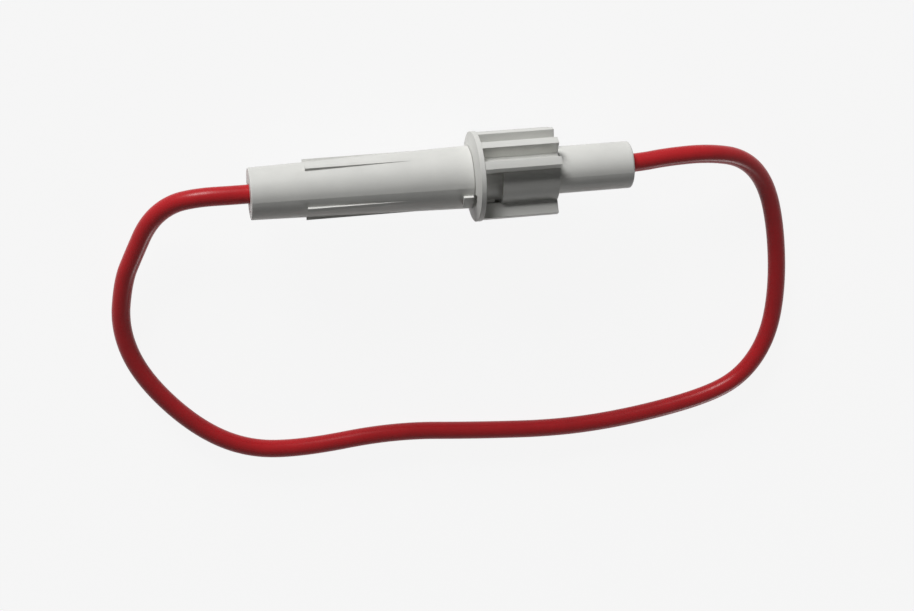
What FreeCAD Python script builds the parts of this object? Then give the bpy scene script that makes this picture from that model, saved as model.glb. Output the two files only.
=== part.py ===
"""Inline twist-lock holder for a 5 x 20 mm glass fuse, with one wire looped from end to end.

The holder lies along X with its flange on the ground plane. Its parts are drawn about their common
axis, with 0 where body and cap meet, and are then moved to where they lie. Angles round the axis
start at straight up and grow towards +Y. All sizes are in millimetres.
"""

import FreeCAD, Part
import math
import os

Vector = FreeCAD.Vector
ALONG = Vector(1, 0, 0)

# Wire
WIRE_DIAMETER = 2.5
CONDUCTOR_DIAMETER = 1.5
WIRE_GAP = 0.15

# Glass fuse
FUSE_LENGTH = 20.0
FUSE_DIAMETER = 5.2
FUSE_CAP_LENGTH = 5.3
FUSE_CAP_WALL = 0.2
GLASS_WALL = 0.55
GLASS_GAP = 0.02
ELEMENT_DIAMETER = 0.24
SOLDER_BASE_RADIUS = 1.3
SOLDER_TOP_RADIUS = 0.5
SOLDER_HEIGHT = 0.9

# Contacts
FUSE_GAP = 0.15
CUP_GAP = 0.05
CUP_WALL = 0.28
CUP_FLOOR = 0.5
CUP_DEPTH = 2.3
SEAT_GAP = 0.05
TAIL_LENGTH = 4.2
TAIL_WALL = 0.4
TAIL_GAP = 0.05
BARE_WIRE = 1.0
HEAD_THICKNESS = 0.8
HEAD_GAP = 0.15

# Spring
SPRING_LENGTH = 12.0
SPRING_RADIUS = 1.95
SPRING_WIRE = 0.6
SPRING_TURNS = 7
WASHER_THICKNESS = 0.5
WASHER_HOLE_GAP = 0.2

# Body
BODY_LENGTH = 29.5
BODY_END_RADIUS = 3.42
BODY_END_ROUND = 0.15
NOSE_WALL = 0.75
NOSE_TO_CUP = 0.3
SHOULDER_STEP = 0.68
MOUTH_GAP = 0.4
BODY_RIB_ANGLES = (67.5, 112.5, 157.5, 247.5, 292.5, 337.5)
BODY_RIB_START = 7.2
BODY_RIB_RADIUS = 3.98
BODY_RIB_WIDTH = 0.55
BODY_RIB_RUNOUT = 1.0

# Lugs, two of each kind across from each other
GUIDE_LUG_ANGLE = -25.75
GUIDE_LUG_SWEEP = 21.5
GUIDE_LUG_LENGTH = 1.3
GUIDE_LUG_FROM_FLANGE = 0.58
GUIDE_LUG_HEIGHT = 0.42
LOCK_LUG_ANGLE = -52.5
LOCK_LUG_SWEEP = 14.0
LOCK_LUG_LENGTH = 1.45
LOCK_LUG_FROM_FLANGE = 0.4
LOCK_LUG_HEIGHT = 0.35
LUG_GAP = 0.12
LUG_SIDE_GAP = 2.0

# Cap
CAP_LENGTH = 21.7
FLANGE_RADIUS = 6.0
FLANGE_BACK = 0.8
FLANGE_THICKNESS = 0.65
FLANGE_FACE_GAP = 0.08
WINDOW_LENGTH = 2.7
RUNNING_GAP = 0.08
NOSE_END_GAP = 0.2
GRIP_LENGTH = 11.12
GRIP_WALL = 0.57
GRIP_FLOOR = 0.77
GRIP_RIB_ANGLES = (33.5, 63.5, 93.5, 123.5, 213.5, 243.5, 273.5, 303.5)
GRIP_RIB_RADIUS = 5.9
GRIP_RIB_WIDTH = 1.1
GRIP_RIB_DRAFT = 3.0
BARREL_RADIUS = 3.16
BARREL_ROUND = 0.25
TAIL_ROOM = 0.55
TAIL_ROOM_END = 0.7

# Route of the free wire's middle line, from the left end round to the right end
ROUTE = [
    (-27.5, 0.0, 6.0),
    (-32.0, 0.0, 6.0),
    (-36.3, -1.4, 5.1),
    (-39.4, -5.0, 3.8),
    (-42.4, -12.0, 1.6),
    (-43.7, -19.8, 1.25),
    (-41.0, -27.6, 1.25),
    (-35.0, -35.4, 1.25),
    (-27.6, -40.2, 1.25),
    (-20.0, -41.0, 1.25),
    (-7.0, -39.7, 1.25),
    (6.0, -41.2, 1.25),
    (18.5, -42.2, 1.25),
    (30.0, -41.4, 1.25),
    (40.4, -39.4, 1.25),
    (46.0, -36.0, 1.25),
    (49.6, -30.4, 1.25),
    (50.3, -22.5, 1.25),
    (49.4, -13.0, 1.25),
    (47.0, -6.0, 2.0),
    (42.8, -1.3, 3.6),
    (36.8, 1.0, 5.4),
    (31.5, 0.0, 6.0),
    (27.5, 0.0, 6.0),
]
ARC_SHARE = 0.45

# Sizes that follow from the ones above
FUSE_RADIUS = FUSE_DIAMETER / 2
WIRE_RADIUS = WIRE_DIAMETER / 2
WIRE_HOLE_RADIUS = WIRE_RADIUS + WIRE_GAP
CONDUCTOR_RADIUS = CONDUCTOR_DIAMETER / 2
TAIL_BORE_RADIUS = CONDUCTOR_RADIUS + TAIL_GAP
TAIL_RADIUS = TAIL_BORE_RADIUS + TAIL_WALL
BORE_RADIUS = FUSE_RADIUS + FUSE_GAP
NOSE_RADIUS = BORE_RADIUS + NOSE_WALL
BODY_MOUTH_RADIUS = NOSE_RADIUS + SHOULDER_STEP
CAP_BORE_RADIUS = NOSE_RADIUS + RUNNING_GAP
GRIP_RADIUS = CAP_BORE_RADIUS + GRIP_WALL
CUP_BORE_RADIUS = FUSE_RADIUS + CUP_GAP
CUP_RADIUS = CUP_BORE_RADIUS + CUP_WALL
POCKET_RADIUS = CUP_RADIUS + SEAT_GAP
TAIL_ROOM_RADIUS = TAIL_RADIUS + TAIL_ROOM
GUIDE_LUG_RADIUS = BODY_MOUTH_RADIUS + GUIDE_LUG_HEIGHT
LOCK_LUG_RADIUS = NOSE_RADIUS + LOCK_LUG_HEIGHT

# Places along the axis
POCKET_END = GRIP_LENGTH - GRIP_FLOOR
CUP_END = POCKET_END - SEAT_GAP
FUSE_END = CUP_END - CUP_FLOOR
CUP_RIM = FUSE_END - CUP_DEPTH
NOSE_END = CUP_RIM - NOSE_TO_CUP
CAP_BORE_END = NOSE_END + NOSE_END_GAP
RIGHT_TAIL_END = CUP_END + TAIL_LENGTH
RIGHT_WIRE_END = RIGHT_TAIL_END + BARE_WIRE
FUSE_START = FUSE_END - FUSE_LENGTH
HEAD_START = FUSE_START - HEAD_THICKNESS
LEFT_TAIL_END = HEAD_START - TAIL_LENGTH
LEFT_WIRE_END = LEFT_TAIL_END - BARE_WIRE
SPRING_START = HEAD_START - SPRING_LENGTH
BORE_START = SPRING_START - WASHER_THICKNESS
FLANGE_FRONT = FLANGE_BACK - FLANGE_THICKNESS
FLANGE_FACE_START = FLANGE_FACE_GAP - MOUTH_GAP
WINDOW_END = FLANGE_BACK + WINDOW_LENGTH
LOCK_LUG_START = FLANGE_BACK + LOCK_LUG_FROM_FLANGE

# The middle of the holder's length lies over the frame's origin, and its flange stands on the ground
PLACE = Vector((BODY_LENGTH - CAP_LENGTH) / 2, 0, FLANGE_RADIUS)

# How far a cut reaches past a face that it opens, and how deep a raised form is rooted
OVERCUT = 0.5
ROOT = 0.4


def cylinder(radius, start, end):
    """Solid cylinder about the axis."""
    return Part.makeCylinder(radius, end - start, Vector(start, 0, 0), ALONG)


def ring(outer, inner, start, end):
    """Tube about the axis."""
    return cylinder(outer, start, end).cut(cylinder(inner, start - OVERCUT, end + OVERCUT))


def round_edge(solid, place, radius, size):
    """Rounds the circular edge of that radius at that place along the axis."""
    def is_the_edge(edge):
        return (
            isinstance(edge.Curve, Part.Circle)
            and abs(edge.Curve.Center.x - place) < 1e-6
            and abs(edge.Curve.Radius - radius) < 1e-6
        )
    return solid.makeFillet(size, [edge for edge in solid.Edges if is_the_edge(edge)])


def around(place, radius, degrees):
    """Point at a place along the axis, a radius and an angle round it."""
    angle = math.radians(degrees)
    return Vector(place, radius * math.sin(angle), radius * math.cos(angle))


def sector(inner, outer, start, end, middle, sweep):
    """Piece of a ring, bounded by two radii, two places and an angle on each side of its middle."""
    low, high = middle - sweep / 2, middle + sweep / 2

    def arc(radius):
        return Part.Arc(*(around(start, radius, at) for at in (low, middle, high))).toShape()

    sides = [Part.makeLine(around(start, inner, at), around(start, outer, at)) for at in (low, high)]
    outline = Part.Wire(Part.sortEdges([arc(inner), arc(outer)] + sides)[0])
    return Part.Face(outline).extrude(Vector(end - start, 0, 0))


def opposite_pair(inner, outer, start, end, middle, sweep):
    """Two equal sectors, across the axis from each other."""
    return [sector(inner, outer, start, end, middle + turn, sweep) for turn in (0, 180)]


def rib(root, tip, start, end, width, degrees, draft=0.0):
    """Rib with a round crown of that width, whose flanks each lean by the draft."""
    def flank(height):
        return width / 2 + (tip - height) * math.tan(math.radians(draft))

    top = tip + OVERCUT
    corners = [(-flank(root), root), (flank(root), root), (flank(top), top), (-flank(top), top)]
    outline = Part.makePolygon([Vector(start, across, up) for across, up in corners + corners[:1]])
    blade = Part.Face(outline).extrude(Vector(end - start, 0, 0))
    blade.rotate(Vector(0, 0, 0), ALONG, -degrees)
    return blade.common(cylinder(tip, start, end))


def joined(solid, others):
    """One solid out of a base and what grows from it."""
    return solid.fuse(others).removeSplitter()


def body_shell():
    """Tapered tube with thin ribs, guide lugs, and a nose with lock lugs that enters the cap."""
    left, mouth = -BODY_LENGTH, -MOUTH_GAP
    taper = Part.makeCone(BODY_END_RADIUS, BODY_MOUTH_RADIUS, mouth - left, Vector(left, 0, 0), ALONG)
    taper = round_edge(taper, left, BODY_END_RADIUS, BODY_END_ROUND)
    slope = (BODY_MOUTH_RADIUS - BODY_END_RADIUS) / (mouth - left)
    rib_start = left + BODY_RIB_START
    rib_end = left + (BODY_RIB_RADIUS - BODY_END_RADIUS) / slope + BODY_RIB_RUNOUT
    ribs = [
        rib(BODY_END_RADIUS - ROOT, BODY_RIB_RADIUS, rib_start, rib_end, BODY_RIB_WIDTH, degrees)
        for degrees in BODY_RIB_ANGLES
    ]
    guide_end = -GUIDE_LUG_FROM_FLANGE
    guides = opposite_pair(
        NOSE_RADIUS, GUIDE_LUG_RADIUS, guide_end - GUIDE_LUG_LENGTH, guide_end, GUIDE_LUG_ANGLE, GUIDE_LUG_SWEEP
    )
    locks = opposite_pair(
        NOSE_RADIUS - ROOT,
        LOCK_LUG_RADIUS,
        LOCK_LUG_START,
        LOCK_LUG_START + LOCK_LUG_LENGTH,
        LOCK_LUG_ANGLE,
        LOCK_LUG_SWEEP,
    )
    nose = cylinder(NOSE_RADIUS, mouth, NOSE_END)
    shell = joined(taper, [nose] + ribs + guides + locks)
    shell = shell.cut(cylinder(BORE_RADIUS, BORE_START, NOSE_END + OVERCUT))
    return shell.cut(cylinder(WIRE_HOLE_RADIUS, left - OVERCUT, BORE_START + OVERCUT))


def cap_shell():
    """Flange with a sloped face and two notches, ribbed grip with two windows, and a thin barrel."""
    front, face_start = FLANGE_FRONT, FLANGE_FACE_START
    flange = cylinder(FLANGE_RADIUS, front, FLANGE_BACK)
    face = Part.makeCone(BODY_MOUTH_RADIUS, FLANGE_RADIUS, front - face_start, Vector(face_start, 0, 0), ALONG)
    grip = cylinder(GRIP_RADIUS, front, GRIP_LENGTH)
    barrel = round_edge(cylinder(BARREL_RADIUS, front, CAP_LENGTH), CAP_LENGTH, BARREL_RADIUS, BARREL_ROUND)
    ribs = [
        rib(GRIP_RADIUS - ROOT, GRIP_RIB_RADIUS, front, GRIP_LENGTH, GRIP_RIB_WIDTH, degrees, GRIP_RIB_DRAFT)
        for degrees in GRIP_RIB_ANGLES
    ]
    shell = joined(flange, [face, grip, barrel] + ribs)
    hollows = [
        cylinder(CAP_BORE_RADIUS, -OVERCUT, CAP_BORE_END),
        cylinder(POCKET_RADIUS, CAP_BORE_END - OVERCUT, POCKET_END),
        cylinder(TAIL_ROOM_RADIUS, POCKET_END - OVERCUT, RIGHT_WIRE_END + TAIL_ROOM_END),
        cylinder(WIRE_HOLE_RADIUS, RIGHT_WIRE_END, CAP_LENGTH + OVERCUT),
    ]
    inner = CAP_BORE_RADIUS - ROOT
    notch_sweep = GUIDE_LUG_SWEEP + 2 * LUG_SIDE_GAP
    groove_sweep = LOCK_LUG_SWEEP + 2 * LUG_SIDE_GAP
    notches = opposite_pair(
        inner, GUIDE_LUG_RADIUS + LUG_GAP, -OVERCUT, FLANGE_BACK, GUIDE_LUG_ANGLE, notch_sweep
    )
    grooves = opposite_pair(
        inner, LOCK_LUG_RADIUS + LUG_GAP, -OVERCUT, WINDOW_END, LOCK_LUG_ANGLE, groove_sweep
    )
    lean = math.tan(math.radians(GRIP_RIB_DRAFT))
    rib_foot = GRIP_RIB_WIDTH / 2 + (GRIP_RIB_RADIUS - GRIP_RADIUS) * lean
    rib_half_angle = math.degrees(math.asin(rib_foot / GRIP_RADIUS))
    first, last = GRIP_RIB_ANGLES[-1] - 360 + rib_half_angle, GRIP_RIB_ANGLES[0] - rib_half_angle
    windows = opposite_pair(
        inner, GRIP_RADIUS + OVERCUT, FLANGE_BACK, WINDOW_END, (first + last) / 2, last - first
    )
    return shell.cut(hollows + notches + grooves + windows)


def left_terminal():
    """Turned contact: a head for the fuse and a crimp tail for the conductor."""
    head = cylinder(BORE_RADIUS - HEAD_GAP, HEAD_START, FUSE_START)
    tail = ring(TAIL_RADIUS, TAIL_BORE_RADIUS, LEFT_TAIL_END, HEAD_START)
    return joined(head, [tail])


def right_terminal():
    """Turned contact: a cup for the fuse's end and a crimp tail for the conductor."""
    cup = cylinder(CUP_RADIUS, CUP_RIM, CUP_END)
    tail = ring(TAIL_RADIUS, TAIL_BORE_RADIUS, CUP_END, RIGHT_TAIL_END)
    return joined(cup, [tail]).cut(cylinder(CUP_BORE_RADIUS, CUP_RIM - OVERCUT, FUSE_END))


def contact_spring():
    """Coil spring between the washer and the left terminal's head."""
    travel = SPRING_LENGTH - SPRING_WIRE
    coil = Part.makeHelix(travel / SPRING_TURNS, travel, SPRING_RADIUS)
    start = Vector(SPRING_RADIUS, 0, 0)
    section = Part.Wire(Part.makeCircle(SPRING_WIRE / 2, start, Vector(0, 1, 0)))
    spring = Part.Wire(coil).makePipeShell([section], True, True)
    spring.rotate(Vector(0, 0, 0), Vector(0, 1, 0), 90)
    spring.translate(Vector(SPRING_START + SPRING_WIRE / 2, 0, 0))
    return spring


def spring_washer():
    """Flat washer at the bottom of the body's bore."""
    return ring(BORE_RADIUS - HEAD_GAP, WIRE_RADIUS + WASHER_HOLE_GAP, BORE_START, SPRING_START)


def fuse_end_cap(end, inward):
    """Thin plated cap over one end of the fuse's glass; inward is +1 or -1 along the axis."""
    floor, rim = end + inward * FUSE_CAP_WALL, end + inward * FUSE_CAP_LENGTH
    cup = cylinder(FUSE_RADIUS, min(end, rim), max(end, rim))
    past_rim = rim + inward * OVERCUT
    return cup.cut(cylinder(FUSE_RADIUS - FUSE_CAP_WALL, min(floor, past_rim), max(floor, past_rim)))


def fuse_tube():
    """Glass tube between the floors of the two end caps."""
    radius = FUSE_RADIUS - FUSE_CAP_WALL - GLASS_GAP
    return ring(radius, radius - GLASS_WALL, FUSE_START + FUSE_CAP_WALL, FUSE_END - FUSE_CAP_WALL)


def fuse_solder(end, inward):
    """Solder that joins the fuse's wire to the inside of one cap."""
    base = Vector(end + inward * FUSE_CAP_WALL, 0, 0)
    return Part.makeCone(SOLDER_BASE_RADIUS, SOLDER_TOP_RADIUS, SOLDER_HEIGHT, base, ALONG * inward)


def fuse_element():
    """The thin wire that melts."""
    inset = FUSE_CAP_WALL + SOLDER_HEIGHT
    return cylinder(ELEMENT_DIAMETER / 2, FUSE_START + inset, FUSE_END - inset)


def wire_path(points):
    """Straight runs joined by tangent arcs, each as large as its two runs allow."""
    points = [Vector(*point) for point in points]
    edges, last, radii = [], points[0], []
    for before, corner, after in zip(points, points[1:], points[2:]):
        back, onward = before - corner, after - corner
        reach = ARC_SHARE * min(back.Length, onward.Length)
        back.normalize()
        onward.normalize()
        turn = math.pi - back.getAngle(onward)
        radii.append(reach / math.tan(turn / 2))
        start, end = corner + back * reach, corner + onward * reach
        bisector = (back + onward).normalize()
        middle = corner + bisector * radii[-1] * (1 / math.cos(turn / 2) - 1)
        edges.append(Part.LineSegment(last, start).toShape())
        edges.append(Part.Arc(start, middle, end).toShape())
        last = end
    edges.append(Part.LineSegment(last, points[-1]).toShape())
    return Part.Wire(edges), radii


def lead_wire():
    """Insulated wire: the free loop, with the straight ends that lie inside the housings."""
    path, radii = wire_path(ROUTE)
    section = Part.Wire(Part.makeCircle(WIRE_RADIUS, Vector(*ROUTE[0]), ALONG))
    loop = path.makePipeShell([section], True, False)
    print("wire radii", [round(radius, 1) for radius in radii])
    print("free loop length", round(path.Length, 2), "volume", round(loop.Volume, 2),
          "section times length", round(math.pi * WIRE_RADIUS**2 * path.Length, 2))
    ends = [
        cylinder(WIRE_RADIUS, ROUTE[0][0] - PLACE.x, LEFT_WIRE_END),
        cylinder(WIRE_RADIUS, RIGHT_WIRE_END, ROUTE[-1][0] - PLACE.x),
    ]
    for end in ends:
        end.translate(PLACE)
    return joined(loop, ends)


PIECES = {
    "body_shell": body_shell(),
    "cap_shell": cap_shell(),
    "left_terminal": left_terminal(),
    "right_terminal": right_terminal(),
    "contact_spring": contact_spring(),
    "spring_washer": spring_washer(),
    "left_conductor": cylinder(CONDUCTOR_RADIUS, LEFT_WIRE_END, HEAD_START),
    "right_conductor": cylinder(CONDUCTOR_RADIUS, CUP_END, RIGHT_WIRE_END),
    "fuse_tube": fuse_tube(),
    "fuse_end_cap_left": fuse_end_cap(FUSE_START, 1),
    "fuse_end_cap_right": fuse_end_cap(FUSE_END, -1),
    "fuse_solder_left": fuse_solder(FUSE_START, 1),
    "fuse_solder_right": fuse_solder(FUSE_END, -1),
    "fuse_element": fuse_element(),
}
for piece in PIECES.values():
    piece.translate(PLACE)
PIECES["lead_wire"] = lead_wire()

os.makedirs("parts", exist_ok=True)
for name, piece in PIECES.items():
    if len(piece.Solids) != 1 or not piece.isValid():
        raise SystemExit(f"{name}: {len(piece.Solids)} solids, valid {piece.isValid()}")
    solid = piece.Solids[0]
    solid.exportStep(f"parts/{name}.step")
    print(name, "volume", round(solid.Volume, 2))
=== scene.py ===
import math

import bpy
from mathutils import Matrix, Vector


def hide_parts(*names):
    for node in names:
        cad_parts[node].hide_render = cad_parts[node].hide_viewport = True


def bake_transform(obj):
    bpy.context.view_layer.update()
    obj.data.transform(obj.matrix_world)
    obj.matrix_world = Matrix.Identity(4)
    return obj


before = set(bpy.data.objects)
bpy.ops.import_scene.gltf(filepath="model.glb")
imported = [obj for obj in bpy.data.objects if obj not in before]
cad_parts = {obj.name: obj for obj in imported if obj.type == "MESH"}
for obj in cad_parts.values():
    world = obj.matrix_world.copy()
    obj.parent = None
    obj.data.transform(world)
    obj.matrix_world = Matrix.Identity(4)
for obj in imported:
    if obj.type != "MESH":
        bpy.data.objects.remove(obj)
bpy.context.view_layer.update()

# Looks of the inline fuse holder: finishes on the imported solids, a smooth looped wire and a coil spring
# in place of the plain ones, and the floor, light and camera of the photograph.

# The photograph's camera, in metres and in the part's frame
CAMERA_PLACE = (-0.042979, 0.085105, 0.223961)
CAMERA_RIGHT = (0.97909, -0.00387, 0.20339)
CAMERA_UP = (0.08940, 0.90630, -0.41308)
CAMERA_BACK = (-0.18273, 0.42263, 0.88769)
CAMERA_LENS = 70.634
CAMERA_SENSOR = 36.0
CAMERA_CLIP_START = 0.01

# Wire
WIRE_DIAMETER = 0.0025
AXIS_HEIGHT = 0.006
WIRE_JOINT = -0.0240
LEFT_WIRE_END = -0.0123
RIGHT_WIRE_END = 0.0194
ROUTE = [
    (WIRE_JOINT, 0.0, AXIS_HEIGHT),
    (-0.0277, 0.0, AXIS_HEIGHT),
    (-0.03205, -0.00005, 0.0057),
    (-0.0357, -0.0011, 0.0044),
    (-0.03875, -0.0039, 0.00335),
    (-0.04085, -0.0085, 0.00255),
    (-0.0426, -0.0125, 0.00195),
    (-0.04365, -0.01995, 0.00125),
    (-0.0413, -0.0274, 0.00125),
    (-0.03485, -0.0356, 0.00125),
    (-0.0279, -0.0402, 0.00125),
    (-0.0199, -0.04115, 0.00125),
    (-0.0066, -0.03975, 0.00125),
    (0.0060, -0.0412, 0.00125),
    (0.01855, -0.0422, 0.00125),
    (0.0298, -0.0414, 0.00125),
    (0.0408, -0.03925, 0.00125),
    (0.0461, -0.03635, 0.00125),
    (0.0495, -0.03055, 0.00125),
    (0.0503, -0.0224, 0.00125),
    (0.04935, -0.01305, 0.00125),
    (0.0471, -0.0058, 0.00195),
    (0.0429, -0.0012, 0.00365),
    (0.03705, 0.0006, 0.0055),
    (0.0310, 0.0006, 0.00585),
    (0.0267, 0.0001, 0.00595),
    (RIGHT_WIRE_END, 0.0, AXIS_HEIGHT),
]
WIRE_SIDES = 40
LINE_STEPS = 16

# Spring
SPRING_START = -0.0191
SPRING_END = -0.0071
SPRING_RADIUS = 0.00195
SPRING_WIRE = 0.0006
SPRING_TURNS = 7
SPRING_FLAT_TURNS = 1.0
SPRING_STEPS_PER_TURN = 40
SPRING_SIDES = 14

# Nearly all values of a noise texture lie between these two
NOISE_LOW, NOISE_HIGH = 0.3, 0.7

# How many rays find the faces beside an edge that is shaded round
EDGE_SAMPLES = 6

# Floor and light
FLOOR_SIZE = 1.6
FLOOR_COLOUR = (0.7, 0.7, 0.7)
FLOOR_ROUGHNESS = 0.9
FLOOR_WHITE_SHARE = 0.9
FILL_STRENGTH = 0.04
LAMP_DISTANCE = 2.0


# Meshes

def smooth_line(points):
    """Points along the NURBS line that has these control points."""
    curve = bpy.data.curves.new("route", "CURVE")
    curve.dimensions = "3D"
    curve.resolution_u = LINE_STEPS
    spline = curve.splines.new("NURBS")
    spline.points.add(len(points) - 1)
    for control, point in zip(spline.points, points):
        control.co = (*point, 1)
    spline.order_u = 3
    spline.use_endpoint_u = True
    carrier = bpy.data.objects.new("route", curve)
    bpy.context.scene.collection.objects.link(carrier)
    bpy.context.view_layer.update()
    line_mesh = bpy.data.meshes.new_from_object(carrier)
    line = [vertex.co.copy() for vertex in line_mesh.vertices]
    bpy.data.meshes.remove(line_mesh)
    bpy.data.objects.remove(carrier)
    bpy.data.curves.remove(curve)
    if (line[0] - Vector(points[0])).length > (line[-1] - Vector(points[0])).length:
        line.reverse()
    return line


def tube(name, line, radius, sides):
    """Closed round tube along a line, with flat ends."""
    tangents = []
    for index in range(len(line)):
        before, after = line[max(index - 1, 0)], line[min(index + 1, len(line) - 1)]
        tangents.append((after - before).normalized())
    across = tangents[0].orthogonal().normalized()
    verts, faces = [], []
    for index, (point, tangent) in enumerate(zip(line, tangents)):
        if index:
            across = tangents[index - 1].rotation_difference(tangent) @ across
        across = (across - tangent * across.dot(tangent)).normalized()
        second = tangent.cross(across)
        for side in range(sides):
            angle = 2 * math.pi * side / sides
            verts.append(point + radius * (math.cos(angle) * across + math.sin(angle) * second))
    for index in range(len(line) - 1):
        for side in range(sides):
            low, high = index * sides, (index + 1) * sides
            after = (side + 1) % sides
            faces.append((low + side, low + after, high + after, high + side))
    faces.append(tuple(range(sides - 1, -1, -1)))
    last = (len(line) - 1) * sides
    faces.append(tuple(range(last, last + sides)))
    mesh = bpy.data.meshes.new(name)
    mesh.from_pydata([tuple(vert) for vert in verts], [], faces)
    for polygon in mesh.polygons:
        polygon.use_smooth = len(polygon.vertices) == 4
    piece = bpy.data.objects.new(name, mesh)
    bpy.context.scene.collection.objects.link(piece)
    return piece


def spring_line():
    """Middle line of the spring's wire: a closed coil at each end and open coils between them."""
    travel = SPRING_END - SPRING_START - SPRING_WIRE
    flat = SPRING_FLAT_TURNS * SPRING_WIRE
    open_turns = SPRING_TURNS - 2 * SPRING_FLAT_TURNS
    line = []
    for step in range(SPRING_TURNS * SPRING_STEPS_PER_TURN + 1):
        turn = step / SPRING_STEPS_PER_TURN
        if turn < SPRING_FLAT_TURNS:
            along = turn * SPRING_WIRE
        elif turn > SPRING_TURNS - SPRING_FLAT_TURNS:
            along = travel - (SPRING_TURNS - turn) * SPRING_WIRE
        else:
            along = flat + (turn - SPRING_FLAT_TURNS) * (travel - 2 * flat) / open_turns
        angle = 2 * math.pi * turn
        line.append(Vector((
            SPRING_START + SPRING_WIRE / 2 + along,
            SPRING_RADIUS * math.sin(angle),
            AXIS_HEIGHT + SPRING_RADIUS * math.cos(angle),
        )))
    return line


# Surface effects that several materials share

def new_group(name, inputs, outputs):
    """Shader node group with named sockets; gives the group, its input node and its output node."""
    group = bpy.data.node_groups.new(name, "ShaderNodeTree")
    for label, kind, value in inputs:
        socket = group.interface.new_socket(name=label, in_out="INPUT", socket_type=kind)
        socket.default_value = value
    for label, kind in outputs:
        group.interface.new_socket(name=label, in_out="OUTPUT", socket_type=kind)
    return group, group.nodes.new("NodeGroupInput"), group.nodes.new("NodeGroupOutput")


def noise_texture(nodes, detail):
    """Noise texture with that many finer layers."""
    texture = nodes.new("ShaderNodeTexNoise")
    texture.inputs["Detail"].default_value = detail
    return texture


def noise_range(nodes):
    """Map Range node whose input is a noise texture's value."""
    span = nodes.new("ShaderNodeMapRange")
    span.inputs["From Min"].default_value = NOISE_LOW
    span.inputs["From Max"].default_value = NOISE_HIGH
    return span


def uneven_tone_group():
    """Slow change of a colour over the surface, as in moulded or drawn stock."""
    group, given, result = new_group(
        "uneven_tone",
        [
            ("Color", "NodeSocketColor", (0.5, 0.5, 0.5, 1.0)),
            ("Scale", "NodeSocketFloat", 300.0),
            ("Amount", "NodeSocketFloat", 0.05),
        ],
        [("Color", "NodeSocketColor")],
    )
    nodes, links = group.nodes, group.links
    place = nodes.new("ShaderNodeTexCoord")
    noise = noise_texture(nodes, detail=3.0)
    span = noise_range(nodes)
    darkest = nodes.new("ShaderNodeMath")
    darkest.operation = "SUBTRACT"
    darkest.inputs[0].default_value = 1.0
    shade = nodes.new("ShaderNodeVectorMath")
    shade.operation = "SCALE"
    links.new(place.outputs["Object"], noise.inputs["Vector"])
    links.new(given.outputs["Scale"], noise.inputs["Scale"])
    links.new(noise.outputs["Fac"], span.inputs["Value"])
    links.new(given.outputs["Amount"], darkest.inputs[1])
    links.new(darkest.outputs[0], span.inputs["To Min"])
    span.inputs["To Max"].default_value = 1.0
    links.new(given.outputs["Color"], shade.inputs[0])
    links.new(span.outputs["Result"], shade.inputs["Scale"])
    links.new(shade.outputs[0], result.inputs["Color"])
    return group


def fine_grain_group():
    """Fine raised grain and a slower wave under it."""
    group, given, result = new_group(
        "fine_grain",
        [
            ("Grain Scale", "NodeSocketFloat", 6000.0),
            ("Wave Scale", "NodeSocketFloat", 500.0),
            ("Wave Share", "NodeSocketFloat", 0.5),
        ],
        [("Height", "NodeSocketFloat"), ("Mask", "NodeSocketFloat")],
    )
    nodes, links = group.nodes, group.links
    place = nodes.new("ShaderNodeTexCoord")
    grain = noise_texture(nodes, detail=2.0)
    wave = noise_texture(nodes, detail=1.0)
    both = nodes.new("ShaderNodeMath")
    both.operation = "MULTIPLY_ADD"
    for noise, scale in ((grain, "Grain Scale"), (wave, "Wave Scale")):
        links.new(place.outputs["Object"], noise.inputs["Vector"])
        links.new(given.outputs[scale], noise.inputs["Scale"])
    links.new(wave.outputs["Fac"], both.inputs[0])
    links.new(given.outputs["Wave Share"], both.inputs[1])
    links.new(grain.outputs["Fac"], both.inputs[2])
    links.new(both.outputs[0], result.inputs["Height"])
    links.new(grain.outputs["Fac"], result.inputs["Mask"])
    return group


def turning_marks_group():
    """Fine rings about the holder's axis, as a lathe leaves them."""
    group, given, result = new_group(
        "turning_marks",
        [("Rings Per Metre", "NodeSocketFloat", 9000.0)],
        [("Height", "NodeSocketFloat"), ("Mask", "NodeSocketFloat")],
    )
    nodes, links = group.nodes, group.links
    place = nodes.new("ShaderNodeTexCoord")
    split = nodes.new("ShaderNodeSeparateXYZ")
    rings = noise_texture(nodes, detail=2.0)
    rings.noise_dimensions = "1D"
    links.new(place.outputs["Object"], split.inputs["Vector"])
    links.new(split.outputs["X"], rings.inputs["W"])
    links.new(given.outputs["Rings Per Metre"], rings.inputs["Scale"])
    links.new(rings.outputs["Fac"], result.inputs["Height"])
    links.new(rings.outputs["Fac"], result.inputs["Mask"])
    return group


UNEVEN_TONE = uneven_tone_group()
FINE_GRAIN = fine_grain_group()
TURNING_MARKS = turning_marks_group()


# Materials

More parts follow.
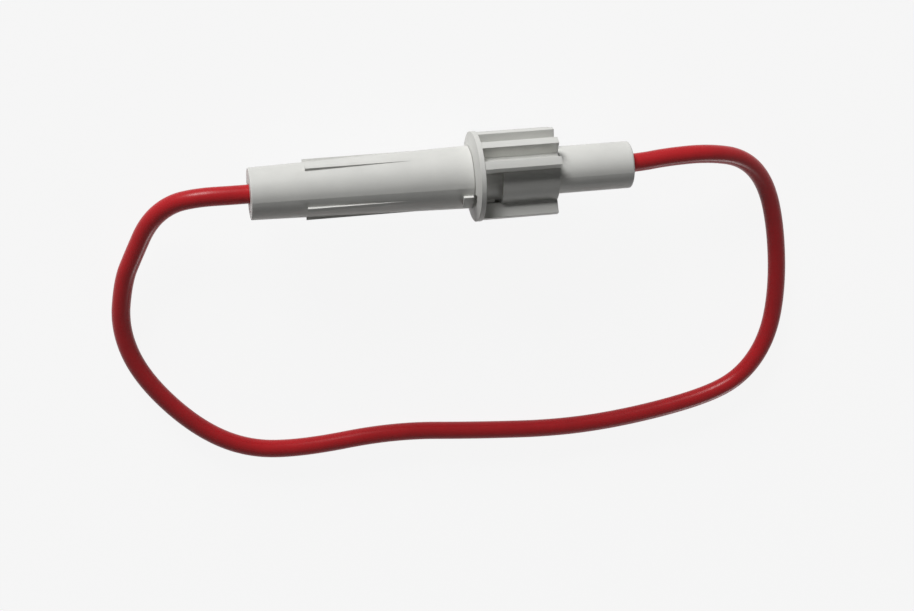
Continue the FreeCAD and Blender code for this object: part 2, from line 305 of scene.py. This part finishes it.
def finish(name, colour, tone, roughness, relief, depth, strength, shader_values, edge=0.0):
    """Material with an uneven colour, a range of roughness and a fine relief.

    tone is the scale and amount of the colour's change, roughness its lowest and highest value, and
    relief the group and the values that give the height. shader_values are the same all over, and edge
    is the radius that sharp edges are shaded with.
    """
    material = bpy.data.materials.new(name)
    material.use_nodes = True
    material.diffuse_color = (*colour, 1.0)
    nodes, links = material.node_tree.nodes, material.node_tree.links
    shader = nodes["Principled BSDF"]
    for label, value in shader_values.items():
        shader.inputs[label].default_value = value
    shade = nodes.new("ShaderNodeGroup")
    shade.node_tree = UNEVEN_TONE
    shade.inputs["Color"].default_value = (*colour, 1.0)
    shade.inputs["Scale"].default_value, shade.inputs["Amount"].default_value = tone
    links.new(shade.outputs["Color"], shader.inputs["Base Color"])
    raised = nodes.new("ShaderNodeGroup")
    raised.node_tree = relief[0]
    for label, value in relief[1].items():
        raised.inputs[label].default_value = value
    gloss = noise_range(nodes)
    gloss.inputs["To Min"].default_value, gloss.inputs["To Max"].default_value = roughness
    links.new(raised.outputs["Mask"], gloss.inputs["Value"])
    links.new(gloss.outputs["Result"], shader.inputs["Roughness"])
    bump = nodes.new("ShaderNodeBump")
    bump.inputs["Strength"].default_value = strength
    bump.inputs["Distance"].default_value = depth
    links.new(raised.outputs["Height"], bump.inputs["Height"])
    links.new(bump.outputs["Normal"], shader.inputs["Normal"])
    if edge:
        soft = nodes.new("ShaderNodeBevel")
        soft.samples = EDGE_SAMPLES
        soft.inputs["Radius"].default_value = edge
        links.new(soft.outputs["Normal"], bump.inputs["Normal"])
    return material


def grain(grain_scale, wave_scale, wave_share):
    """The fine grain group with its three values."""
    return FINE_GRAIN, {"Grain Scale": grain_scale, "Wave Scale": wave_scale, "Wave Share": wave_share}


def turning_marks(rings_per_metre):
    """The turning marks group with its value."""
    return TURNING_MARKS, {"Rings Per Metre": rings_per_metre}


MOULDED_PLASTIC = finish(
    "moulded_plastic", colour=(0.73, 0.73, 0.70), tone=(260.0, 0.06), roughness=(0.36, 0.46),
    relief=grain(7000.0, 700.0, 0.8), depth=0.00002, strength=0.35,
    shader_values={"IOR": 1.49, "Specular IOR Level": 0.2}, edge=0.0001,
)
RED_INSULATION = finish(
    "red_insulation", colour=(0.50, 0.013, 0.018), tone=(420.0, 0.10), roughness=(0.26, 0.36),
    relief=grain(5200.0, 900.0, 1.2), depth=0.00002, strength=0.35,
    shader_values={"IOR": 1.53, "Specular IOR Level": 0.2},
)
TURNED_BRASS = finish(
    "turned_brass", colour=(0.78, 0.60, 0.30), tone=(500.0, 0.10), roughness=(0.20, 0.34),
    relief=turning_marks(9000.0), depth=0.00001, strength=0.5, shader_values={"Metallic": 1.0},
)
BRIGHT_PLATING = finish(
    "bright_plating", colour=(0.80, 0.80, 0.79), tone=(450.0, 0.06), roughness=(0.10, 0.22),
    relief=turning_marks(6000.0), depth=0.000006, strength=0.4, shader_values={"Metallic": 1.0},
)
BARE_COPPER = finish(
    "bare_copper", colour=(0.80, 0.42, 0.25), tone=(700.0, 0.15), roughness=(0.24, 0.40),
    relief=grain(9000.0, 1500.0, 0.6), depth=0.00001, strength=0.5, shader_values={"Metallic": 1.0},
)
SPRING_STEEL = finish(
    "spring_steel", colour=(0.55, 0.56, 0.58), tone=(700.0, 0.10), roughness=(0.22, 0.36),
    relief=grain(9000.0, 1200.0, 0.5), depth=0.00001, strength=0.4, shader_values={"Metallic": 1.0},
)
DULL_SOLDER = finish(
    "dull_solder", colour=(0.62, 0.63, 0.64), tone=(900.0, 0.18), roughness=(0.34, 0.55),
    relief=grain(6000.0, 1800.0, 1.5), depth=0.00003, strength=0.6, shader_values={"Metallic": 1.0},
)
PRESSED_BOARD = finish(
    "pressed_board", colour=(0.30, 0.16, 0.09), tone=(1200.0, 0.25), roughness=(0.62, 0.80),
    relief=grain(8000.0, 2500.0, 1.0), depth=0.00003, strength=0.6, shader_values={"IOR": 1.45},
)
CLEAR_GLASS = finish(
    "clear_glass", colour=(0.97, 0.99, 0.98), tone=(300.0, 0.02), roughness=(0.01, 0.04),
    relief=grain(1500.0, 300.0, 2.0), depth=0.000004, strength=0.2,
    shader_values={"IOR": 1.5, "Transmission Weight": 1.0},
)

CAD_FINISHES = {
    "body_shell": MOULDED_PLASTIC,
    "cap_shell": MOULDED_PLASTIC,
    "left_terminal": TURNED_BRASS,
    "right_terminal": TURNED_BRASS,
    "spring_washer": PRESSED_BOARD,
    "left_conductor": BARE_COPPER,
    "right_conductor": BARE_COPPER,
    "fuse_tube": CLEAR_GLASS,
    "fuse_end_cap_left": BRIGHT_PLATING,
    "fuse_end_cap_right": BRIGHT_PLATING,
    "fuse_solder_left": DULL_SOLDER,
    "fuse_solder_right": DULL_SOLDER,
    "fuse_element": BARE_COPPER,
}


def cover(piece, material):
    """Gives a piece one material and nothing else."""
    piece.data.materials.clear()
    piece.data.materials.append(material)


# CAD pieces that stay

for node, material in CAD_FINISHES.items():
    cover(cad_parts[node], material)


# Wire

wire_path = smooth_line(ROUTE)
wire = tube("looped_wire", wire_path, WIRE_DIAMETER / 2, WIRE_SIDES)
cover(wire, RED_INSULATION)
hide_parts("lead_wire")
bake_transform(wire)

inner_line = smooth_line([
    (LEFT_WIRE_END, 0, AXIS_HEIGHT),
    ((LEFT_WIRE_END + WIRE_JOINT) / 2, 0, AXIS_HEIGHT),
    (WIRE_JOINT, 0, AXIS_HEIGHT),
])
inner_wire = tube("wire_inside_body", inner_line, WIRE_DIAMETER / 2, WIRE_SIDES)
cover(inner_wire, RED_INSULATION)
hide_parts("lead_wire")
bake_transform(inner_wire)


# Spring

spring = tube("coil_spring", spring_line(), SPRING_WIRE / 2, SPRING_SIDES)
cover(spring, SPRING_STEEL)
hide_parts("contact_spring")
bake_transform(spring)


# Floor, light and camera

def light_path_mask(nodes, links):
    """1 for rays that should see a white background: from the camera, a reflection or glass."""
    path = nodes.new("ShaderNodeLightPath")
    mask = path.outputs["Is Camera Ray"]
    for kind in ("Is Glossy Ray", "Is Transmission Ray"):
        either = nodes.new("ShaderNodeMath")
        either.operation = "MAXIMUM"
        links.new(mask, either.inputs[0])
        links.new(path.outputs[kind], either.inputs[1])
        mask = either.outputs[0]
    return mask


def floor():
    """Pale floor under the part, almost white to the camera, that keeps a soft shadow."""
    half = FLOOR_SIZE / 2
    mesh = bpy.data.meshes.new("floor")
    corners = [(-half, -half, 0), (half, -half, 0), (half, half, 0), (-half, half, 0)]
    mesh.from_pydata(corners, [], [(0, 1, 2, 3)])
    plate = bpy.data.objects.new("floor", mesh)
    bpy.context.scene.collection.objects.link(plate)
    material = bpy.data.materials.new("pale_floor")
    material.use_nodes = True
    nodes, links = material.node_tree.nodes, material.node_tree.links
    matt = nodes["Principled BSDF"]
    matt.inputs["Base Color"].default_value = (*FLOOR_COLOUR, 1.0)
    matt.inputs["Roughness"].default_value = FLOOR_ROUGHNESS
    matt.inputs["Specular IOR Level"].default_value = 0.0
    white = nodes.new("ShaderNodeEmission")
    share = nodes.new("ShaderNodeMath")
    share.operation = "MULTIPLY"
    share.inputs[1].default_value = FLOOR_WHITE_SHARE
    mix = nodes.new("ShaderNodeMixShader")
    links.new(light_path_mask(nodes, links), share.inputs[0])
    links.new(share.outputs[0], mix.inputs["Fac"])
    links.new(matt.outputs["BSDF"], mix.inputs[1])
    links.new(white.outputs["Emission"], mix.inputs[2])
    links.new(mix.outputs["Shader"], nodes["Material Output"].inputs["Surface"])
    cover(plate, material)


def surroundings():
    """Even fill light, which the camera sees as white."""
    world = bpy.data.worlds.new("studio")
    world.use_nodes = True
    nodes, links = world.node_tree.nodes, world.node_tree.links
    background = nodes["Background"]
    background.inputs["Color"].default_value = (1, 1, 1, 1)
    strength = nodes.new("ShaderNodeMapRange")
    strength.inputs["To Min"].default_value = FILL_STRENGTH
    strength.inputs["To Max"].default_value = 1.0
    links.new(light_path_mask(nodes, links), strength.inputs["Value"])
    links.new(strength.outputs["Result"], background.inputs["Strength"])
    bpy.context.scene.world = world


def lamp(name, azimuth, elevation, size, level):
    """Square soft lamp aimed at the part. A level of 1 alone shows a facing colour as it is written."""
    data = bpy.data.lights.new(name, "AREA")
    data.shape = "SQUARE"
    data.size = size
    data.energy = level * (math.pi * LAMP_DISTANCE) ** 2
    light = bpy.data.objects.new(name, data)
    towards = Vector((
        math.sin(math.radians(azimuth)) * math.cos(math.radians(elevation)),
        math.cos(math.radians(azimuth)) * math.cos(math.radians(elevation)),
        math.sin(math.radians(elevation)),
    ))
    light.location = towards * LAMP_DISTANCE
    light.rotation_mode = "QUATERNION"
    light.rotation_quaternion = towards.to_track_quat("Z", "Y")
    bpy.context.scene.collection.objects.link(light)


def photo_camera():
    """Camera that stands and looks as the photograph's does."""
    data = bpy.data.cameras.new("camera")
    data.lens, data.sensor_width = CAMERA_LENS, CAMERA_SENSOR
    data.clip_start = CAMERA_CLIP_START
    camera = bpy.data.objects.new("camera", data)
    turn = Matrix((CAMERA_RIGHT, CAMERA_UP, CAMERA_BACK)).transposed()
    camera.matrix_world = Matrix.Translation(CAMERA_PLACE) @ turn.to_4x4()
    bpy.context.scene.collection.objects.link(camera)
    bpy.context.scene.camera = camera


floor()
surroundings()
lamp("key", azimuth=-20.0, elevation=13.0, size=0.8, level=1.0)
lamp("low_right", azimuth=150.0, elevation=8.0, size=0.5, level=0.18)
photo_camera()
bpy.context.scene.view_settings.view_transform = "Standard"
